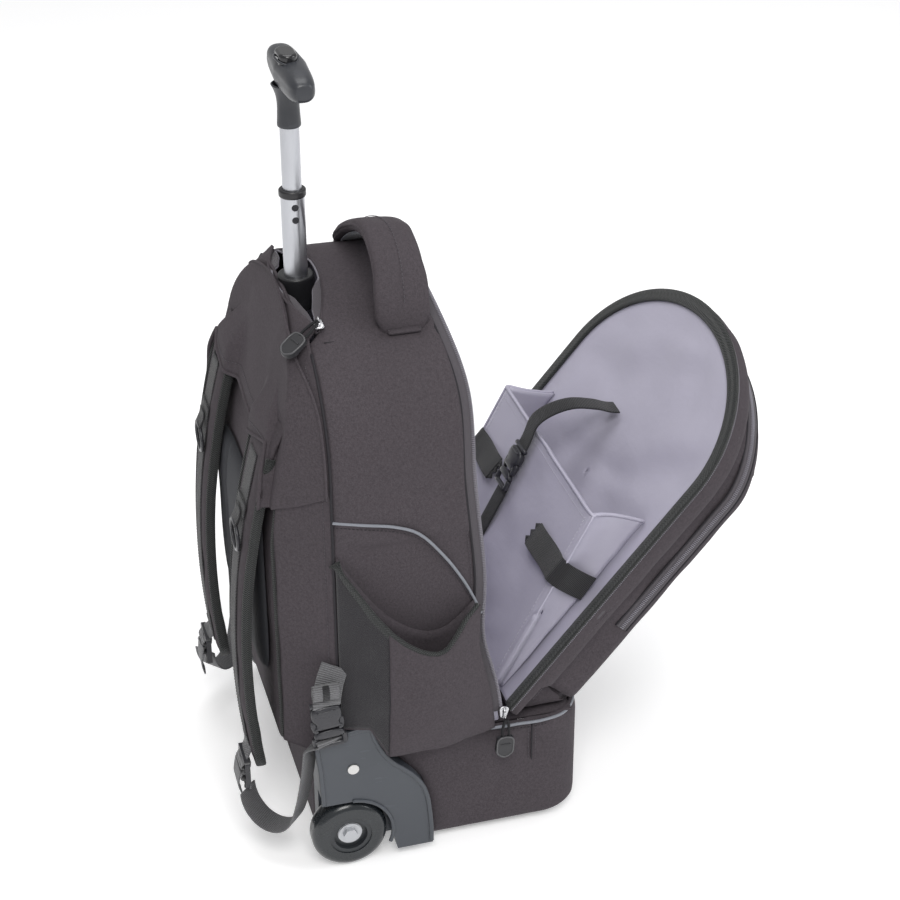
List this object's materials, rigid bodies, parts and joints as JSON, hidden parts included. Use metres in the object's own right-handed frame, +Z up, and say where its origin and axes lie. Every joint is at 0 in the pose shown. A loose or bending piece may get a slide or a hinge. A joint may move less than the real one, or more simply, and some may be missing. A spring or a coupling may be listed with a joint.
{
  "type": "wheeled laptop backpack",
  "caption": "Wheeled laptop backpack standing on its boot and wheels, front panel unzipped and tipped open, telescopic handle partly raised.",
  "frame": {"origin": "middle of the base plate's resting face, on the floor", "axes": "+Z up; -Y towards the front panel; +X to the wearer's right"},
  "size_m": [0.366, 0.5024, 0.701],
  "materials": {
    "shell_fabric": "dense charcoal polyester weave with a faint purple-brown tint",
    "strap_fabric": "padded charcoal polyester with a black ribbed binding",
    "lining": "satin lilac-grey nylon lining",
    "back_pad_foam": "smooth dark foam-backed fabric",
    "stiffener_board": "lining-covered polyethylene board",
    "zip_tape": "grey woven tape with a moulded coil",
    "zip_metal": "bright plated zinc",
    "moulded_plastic": "fine-textured blue-grey moulding",
    "rivet_metal": "satin, pale",
    "steel": "zinc plated",
    "tube_aluminium": "satin anodised",
    "black_plastic": "black moulding",
    "dark_screw": "black oxide, slotted",
    "grip_plastic": "soft satin charcoal",
    "button_plastic": "black, slightly glossy",
    "tyre": "semi-gloss polyurethane",
    "hub_plastic": "dark moulded hub",
    "webbing": "ribbed grey polypropylene webbing",
    "black_webbing": "black webbing and hook-and-loop tape",
    "buckle_plastic": "dark acetal",
    "pull_cord": "black braided cord",
    "pull_tab": "moulded tab with a pale rim"
  },
  "bodies": {
    "bag": {"main_gusset": "shell_fabric", "rear_shell": "shell_fabric", "yoke": "shell_fabric", "boot": "shell_fabric", "bottle_pocket_left": "shell_fabric", "bottle_pocket_right": "shell_fabric", "panel_bellows": "shell_fabric", "frame_sheet": "stiffener_board", "base_board": "stiffener_board", "back_pad": "back_pad_foam", "zip_tape_body": "zip_tape", "bag_sliders": "zip_metal", "base_plate": "moulded_plastic", "wheel_housing_left": "moulded_plastic", "wheel_housing_right": "moulded_plastic", "tube_foot": "moulded_plastic", "housing_rivets": "rivet_metal", "axle_bolts": "steel", "outer_tube": "tube_aluminium", "tube_ferrule": "black_plastic", "lower_webbing_left": "webbing", "lower_webbing_right": "webbing", "buckle_sockets": "buckle_plastic", "buckle_plugs": "buckle_plastic"},
    "panel": {"organiser_pocket": "shell_fabric", "front_panel": "lining", "laptop_sleeve": "lining", "zip_tape_flap": "zip_tape", "sleeve_straps": "black_webbing", "hold_down_buckle": "buckle_plastic", "pocket_slider": "zip_metal"},
    "middle_stage": {"middle_tube": "tube_aluminium", "middle_collar": "black_plastic", "collar_screws": "dark_screw"},
    "top_stage": {"top_tube": "tube_aluminium", "lock_block": "black_plastic", "grip_base": "grip_plastic", "grip_cover": "grip_plastic", "button_spring": "steel"},
    "button": {"lock_button": "button_plastic", "push_rod": "steel"},
    "wheel_left": {"tyre_left": "tyre", "hub_left": "hub_plastic", "bearings_left": "steel"},
    "strap_left": {"shoulder_strap_left": "strap_fabric", "ladder_lock_left": "buckle_plastic"},
    "wheel_right": {"tyre_right": "tyre", "hub_right": "hub_plastic", "bearings_right": "steel"},
    "strap_right": {"shoulder_strap_right": "strap_fabric", "ladder_lock_right": "buckle_plastic"},
    "carry_loop": {"carry_handle": "shell_fabric"},
    "pull_main_left": {"pull_cord_main_left": "pull_cord", "pull_tab_main_left": "pull_tab"},
    "pull_main_right": {"pull_cord_main_right": "pull_cord", "pull_tab_main_right": "pull_tab"},
    "pull_slot": {"pull_cord_slot": "pull_cord", "pull_tab_slot": "pull_tab"},
    "pull_pocket": {"pull_cord_pocket": "pull_cord", "pull_tab_pocket": "pull_tab"}
  },
  "joints": [
    {"name": "front_panel_hinge", "type": "hinge", "parent": "bag", "child": "panel", "pos_m": [0, -0.047, 0.131], "axis": [-1, 0, 0], "range_deg": [0, 46], "deforming": ["panel_bellows"]},
    {"name": "middle_tube_slide", "type": "slide", "parent": "bag", "child": "middle_stage", "axis": [0, 0, 1], "range_m": [-0.068, 0.15]},
    {"name": "top_tube_slide", "type": "slide", "parent": "middle_stage", "child": "top_stage", "axis": [0, 0, 1], "range_m": [-0.054, 0.15]},
    {"name": "lock_button_press", "type": "slide", "parent": "top_stage", "child": "button", "axis": [0, 0, -1], "range_m": [0, 0.0035], "stiffness_N_per_m": 500, "springref_m": -0.002, "deforming": ["button_spring"]},
    {"name": "wheel_left_spin", "type": "hinge", "parent": "bag", "child": "wheel_left", "pos_m": [-0.15, 0.095, 0.034], "axis": [1, 0, 0], "continuous": true},
    {"name": "wheel_right_spin", "type": "hinge", "parent": "bag", "child": "wheel_right", "pos_m": [0.15, 0.095, 0.034], "axis": [1, 0, 0], "continuous": true},
    {"name": "carry_handle_fold", "type": "hinge", "parent": "bag", "child": "carry_loop", "pos_m": [0, 0.022, 0.52], "axis": [1, 0, 0], "range_deg": [-20, 38]},
    {"name": "strap_left_swing", "type": "hinge", "parent": "bag", "child": "strap_left", "pos_m": [-0.087, 0.158, 0.43], "axis": [1, 0, 0], "range_deg": [0, 40], "deforming": ["lower_webbing_left"]},
    {"name": "strap_right_swing", "type": "hinge", "parent": "bag", "child": "strap_right", "pos_m": [0.087, 0.158, 0.43], "axis": [1, 0, 0], "range_deg": [0, 40], "deforming": ["lower_webbing_right"]},
    {"name": "main_left_pull_swing", "type": "hinge", "parent": "bag", "child": "pull_main_left", "pos_m": [-0.1615, -0.048, 0.133], "axis": [0, 1, 0], "range_deg": [0, 100]},
    {"name": "main_right_pull_swing", "type": "hinge", "parent": "bag", "child": "pull_main_right", "pos_m": [0.1615, -0.048, 0.133], "axis": [0, -1, 0], "range_deg": [0, 100]},
    {"name": "slot_pull_swing", "type": "hinge", "parent": "bag", "child": "pull_slot", "pos_m": [-0.086, 0.09, 0.5055], "axis": [0.8882, 0.4329, 0.1536], "range_deg": [0, 120]},
    {"name": "pocket_pull_swing", "type": "hinge", "parent": "panel", "child": "pull_pocket", "pos_m": [-0.075, -0.30183, 0.32968], "axis": [1, 0, 0], "range_deg": [-60, 34]}
  ]
}
